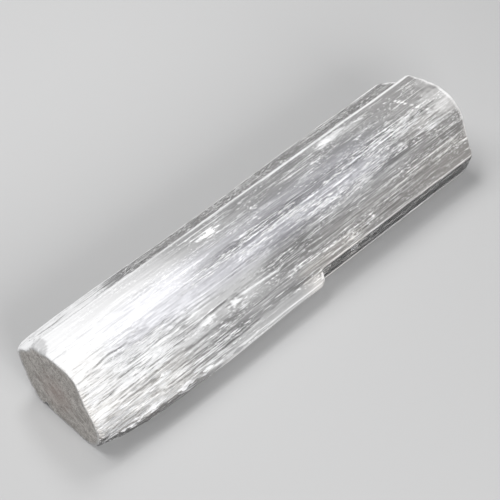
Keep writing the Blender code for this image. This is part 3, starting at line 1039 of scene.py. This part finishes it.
# A Geometry Nodes tree that lays spindles along the log, under the faces of the mesh it is given
def spindleTree():
    group = bpy.data.node_groups.new("spindlesAlongGrain", "GeometryNodeTree")
    group.interface.new_socket("Geometry", in_out="INPUT", socket_type="NodeSocketGeometry")
    group.interface.new_socket("Geometry", in_out="OUTPUT", socket_type="NodeSocketGeometry")
    sockets = {}
    kinds = {"seed": "NodeSocketInt", "sides": "NodeSocketInt", "rings": "NodeSocketInt",
             "material": "NodeSocketMaterial"}
    limits = [key + end for key in spindleRanges for end in ("Low", "High")]
    for name in ("density", "seed", "sides", "rings", "material", "stray", *limits):
        kind = kinds.get(name, "NodeSocketFloat")
        sockets[name] = group.interface.new_socket(name, in_out="INPUT", socket_type=kind).identifier
    bench = NodeBench(group)
    given = bench.add("NodeGroupInput", {}, {})
    wires = {name: Wire(bench, given.outputs[name]) for name in (*sockets, "Geometry")}

    def stored(name):
        return bench.out("GeometryNodeInputNamedAttribute", {"data_type": "FLOAT"}, {"Name": name})

    # A Random Value node's float sockets are inputs 2 and 3 and output 1, and its seed is input 8
    def between(key, step):
        limits = {2: wires[key + "Low"], 3: wires[key + "High"], 8: wires["seed"] + step}
        return bench.out("FunctionNodeRandomValue", {"data_type": "FLOAT"}, limits, 1)

    def chance(seed):
        return bench.out("FunctionNodeRandomValue", {"data_type": "FLOAT"}, {"Seed": seed}, 1)

    density = wires["density"] * stored("share")
    spread = bench.add("GeometryNodeDistributePointsOnFaces", {"distribute_method": "RANDOM"},
                       {"Mesh": wires["Geometry"], "Density": density, "Seed": wires["seed"]})
    points, normal = Wire(bench, spread.outputs["Points"]), Wire(bench, spread.outputs["Normal"])
    inward = bench.out("ShaderNodeVectorMath", {"operation": "SCALE"},
                       {"Vector": normal, "Scale": between("under", 1) * -1})
    points = bench.out("GeometryNodeSetPosition", {}, {"Geometry": points, "Offset": inward})
    lie = bench.out("FunctionNodeAlignRotationToVector", {"axis": "Z", "pivot_axis": "X"},
                    {"Vector": normal})
    tilt = bench.out("FunctionNodeRandomValue", {"data_type": "FLOAT_VECTOR"},
                     {0: (-1, -1, -1), 1: (1, 1, 1)})
    reach = bench.out("ShaderNodeCombineXYZ", {},
                      {"X": spindleBuild["roll"], "Y": wires["stray"], "Z": wires["stray"]})
    tilt = bench.out("ShaderNodeVectorMath", {"operation": "MULTIPLY"}, {0: tilt, 1: reach})
    turned = bench.out("FunctionNodeRotateRotation", {"rotation_space": "LOCAL"},
                       {"Rotation": lie, "Rotate By": tilt})
    luck = chance(spindleBuild["lengthSeed"])
    length = wires["longLow"] + (wires["longHigh"] - wires["longLow"]) * luck * luck
    length = bench.maths("MINIMUM", length, stored("room") * spindleBuild["rimShare"])
    size = bench.out("ShaderNodeCombineXYZ", {},
                     {"X": length, "Y": between("wide", 3), "Z": between("thick", 4)})
    spindle = bench.out("GeometryNodeMeshUVSphere", {},
                        {"Radius": 0.5, "Segments": wires["sides"], "Rings": wires["rings"]})
    spindle = bench.out("GeometryNodeSetShadeSmooth", {}, {"Geometry": spindle, "Shade Smooth": False})
    copies = bench.out("GeometryNodeInstanceOnPoints", {},
                       {"Points": points, "Instance": spindle, "Rotation": turned, "Scale": size})
    copies = bench.out("GeometryNodeStoreNamedAttribute", {"data_type": "FLOAT", "domain": "INSTANCE"},
                       {"Geometry": copies, "Name": "tone", "Value": chance(spindleBuild["toneSeed"])})
    whole = bench.out("GeometryNodeRealizeInstances", {}, {"Geometry": copies})
    dressed = bench.out("GeometryNodeSetMaterial", {},
                        {"Geometry": whole, "Material": wires["material"]})
    bench.add("NodeGroupOutput", {}, {"Geometry": dressed})
    return group, sockets


spindleLooks = {
    "sealed": {"dull": (0.80, 0.80, 0.81, 1), "pale": (0.97, 0.97, 0.98, 1), "roughness": 0.55},
    "loose": {"dull": (0.35, 0.35, 0.355, 1), "pale": (0.97, 0.97, 0.975, 1), "roughness": 0.32,
              "glow": 0.15, "glowReach": 0.0008},
}


def sealedMaterial():
    bench = Bench("sealedWhite")
    look = spindleLooks["sealed"]
    tone = bench.ramp(bench.grain("sealed"), 0.35, 0.65)
    values = {"Base Color": bench.blend(tone, look["dull"], look["pale"]), "Roughness": look["roughness"]}
    return bench.finish(bench.out("ShaderNodeBsdfPrincipled", {}, values))


def looseMaterial():
    bench = Bench("splinterWhite")
    look = spindleLooks["loose"]
    share = (bench.layer("pale") * 1.05 + bench.layer("tone") * 0.45 - 0.3).clamp()
    values = {
        "Base Color": bench.blend(share, look["dull"], look["pale"]),
        "Roughness": look["roughness"],
        "IOR": gypsum["ior"],
        "Subsurface Weight": look["glow"],
        "Subsurface Radius": (1.0, 1.0, 1.0),
        "Subsurface Scale": look["glowReach"],
    }
    return bench.finish(bench.out("ShaderNodeBsdfPrincipled", {}, values))


def makeSpindles(name, sizes, group, sockets, material):
    share, pale = np.zeros_like(sideX), np.zeros_like(sideX)
    for spanX, spanS, strength, paleness in sizes["zones"]:
        zone = inZone(spanX, spanS, fadeX=20, fadeS=1.5)
        share = np.maximum(share, strength * zone)
        pale = np.maximum(pale, paleness * zone)
    clump = smooth(0.5 + 0.9 * sideSwells(14.0, 1.7, 51 + sizes["seed"]))
    clump = clump * smooth(0.7 + 0.9 * sideSwells(9.0, 4.2, 91 + sizes["seed"]))
    share = share * (1 - sizes["clump"] + sizes["clump"] * 2.0 * clump)
    share = share * (1 - facet) * (rimAway > spindleBuild["keepOff"]) * (clearance > 0.9)
    carrierMesh = makeMesh("carrier", rings)
    store(carrierMesh, "share", share)
    store(carrierMesh, "pale", pale)
    store(carrierMesh, "room", rimAway * mm)
    carrier = addObject("carrier", carrierMesh)
    modifier = carrier.modifiers.new(name, "NODES")
    modifier.node_group = group
    modifier[sockets["density"]] = float(sizes["density"])
    modifier[sockets["stray"]] = sizes["stray"]
    modifier[sockets["material"]] = material
    for key in ("seed", "sides", "rings"):
        modifier[sockets[key]] = sizes[key]
    for key in spindleRanges:
        modifier[sockets[key + "Low"]] = sizes[key][0] * mm
        modifier[sockets[key + "High"]] = sizes[key][1] * mm
    bpy.context.view_layer.update()
    graph = bpy.context.evaluated_depsgraph_get()
    mesh = bpy.data.meshes.new_from_object(carrier.evaluated_get(graph))
    bpy.data.objects.remove(carrier)
    mesh.name = name
    print(name, len(mesh.polygons), "faces")
    return addObject(name, mesh)


group, sockets = spindleTree()
materials = {"sealed": sealedMaterial(), "loose": looseMaterial()}
spindlePieces = []
for name, sizes in spindleSets.items():
    spindlePieces.append(makeSpindles(name, sizes, group, sockets, materials[sizes["look"]]))
for piece in (crystal, *spindlePieces):
    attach(piece, root)
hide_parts("selenite_log")

# The studio: a pale paper floor, soft lamps and the camera. A lamp has its place and its aim, its two sides
# in m and its power.
studio = {
    "floorHalf": 3.0,       # m
    "floorDrop": 0.0001,    # just under the log, m
    "floorTone": 0.53,
    "floorRoughness": 0.8,
    "worldTone": (0.98, 0.985, 1.0, 1),
    "worldStrength": 0.24,
    "lamps": {
        "overhead": ((-0.20, 0.38, 0.82), (0, 0, 0), (0.5, 0.5), 3.9),
        "front": ((-0.25, -0.8, 0.42), (0, 0, 0.01), (0.6, 0.4), 7.0),
        "sheen": ((0.1, 0.24, 0.42), (-0.08, 0, 0.03), (0.14, 0.14), 0.75),
    },
    "lens": 150.0,
    "sensor": 36.0,
    "azimuth": -44.9,
    "elevation": 47.7,
    "distance": 788.7,      # mm
    "aim": (-3.46, 1.40, 15.0),
    "clip": (0.01, 20.0),   # m
}


def aimAt(thing, place, target):
    thing.location = Vector(place)
    thing.rotation_mode = "QUATERNION"
    thing.rotation_quaternion = (Vector(target) - Vector(place)).to_track_quat("-Z", "Y")


def makeFloor():
    half, tone = studio["floorHalf"], studio["floorTone"]
    corners = [(-half, -half, 0), (half, -half, 0), (half, half, 0), (-half, half, 0)]
    floorMesh = bpy.data.meshes.new("floor")
    floorMesh.from_pydata(corners, [], [(0, 1, 2, 3)])
    floor = addObject("floor", floorMesh)
    floor.location.z = -studio["floorDrop"]
    paper = Bench("paper")
    values = {"Base Color": (tone, tone, tone, 1), "Roughness": studio["floorRoughness"]}
    floorMesh.materials.append(paper.finish(paper.out("ShaderNodeBsdfPrincipled", {}, values)))


def makeLights():
    world = bpy.data.worlds.new("studio")
    bpy.context.scene.world = world
    world.use_nodes = True
    background = world.node_tree.nodes["Background"]
    background.inputs["Color"].default_value = studio["worldTone"]
    background.inputs["Strength"].default_value = studio["worldStrength"]
    for name, (place, target, size, power) in studio["lamps"].items():
        lamp = bpy.data.lights.new(name, "AREA")
        lamp.shape = "RECTANGLE"
        lamp.size, lamp.size_y = size
        lamp.energy = power
        aimAt(addObject(name, lamp), place, target)


def makeCamera():
    cameraData = bpy.data.cameras.new("camera")
    cameraData.lens = studio["lens"]
    cameraData.sensor_width = studio["sensor"]
    cameraData.clip_start, cameraData.clip_end = studio["clip"]
    camera = addObject("camera", cameraData)
    turn, rise = math.radians(studio["azimuth"]), math.radians(studio["elevation"])
    back = Vector((math.sin(turn) * math.cos(rise), -math.cos(turn) * math.cos(rise), math.sin(rise)))
    aim = Vector(studio["aim"]) * mm
    aimAt(camera, aim + back * studio["distance"] * mm, aim)
    bpy.context.scene.camera = camera


makeFloor()
makeLights()
makeCamera()
bpy.context.scene.view_settings.view_transform = "Standard"
print("studio ready")
